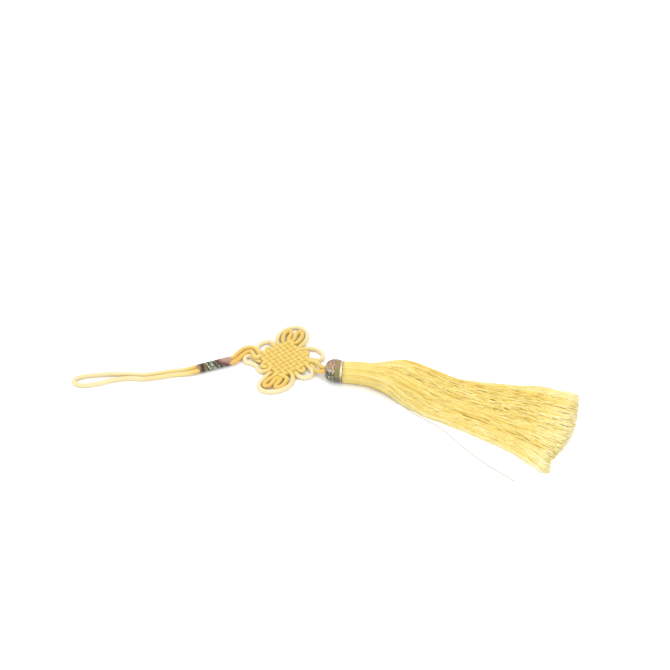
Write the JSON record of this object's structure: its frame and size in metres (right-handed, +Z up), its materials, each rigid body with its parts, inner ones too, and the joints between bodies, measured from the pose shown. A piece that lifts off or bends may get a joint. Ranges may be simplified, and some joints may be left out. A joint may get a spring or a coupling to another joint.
{
  "type": "flute hanging cord",
  "caption": "Yellow satin hanging cord with a doubled loop, metallic thread binding, woven pan chang knot and long rayon tassel, lying flat.",
  "frame": {"origin": "on the table under the middle of the whole cord's length and width", "axes": "+X from the loop's end to the tassel's end, +Y across the cord, +Z up from the table"},
  "size_m": [0.2588, 0.1116, 0.0137],
  "materials": {
    "satin_cord": "golden yellow round braided satin cord with a soft sheen",
    "metallic_thread": "space-dyed metallic binding thread in olive, maroon, gold and silver",
    "rayon_thread": "fine golden yellow rayon thread, glossy along its length"
  },
  "bodies": {
    "root": {"hanging_loop": "satin_cord", "pan_chang_knot": "satin_cord", "binding_wrap": "metallic_thread", "tassel_head": "metallic_thread", "tassel": "rayon_thread"}
  },
  "joints": []
}
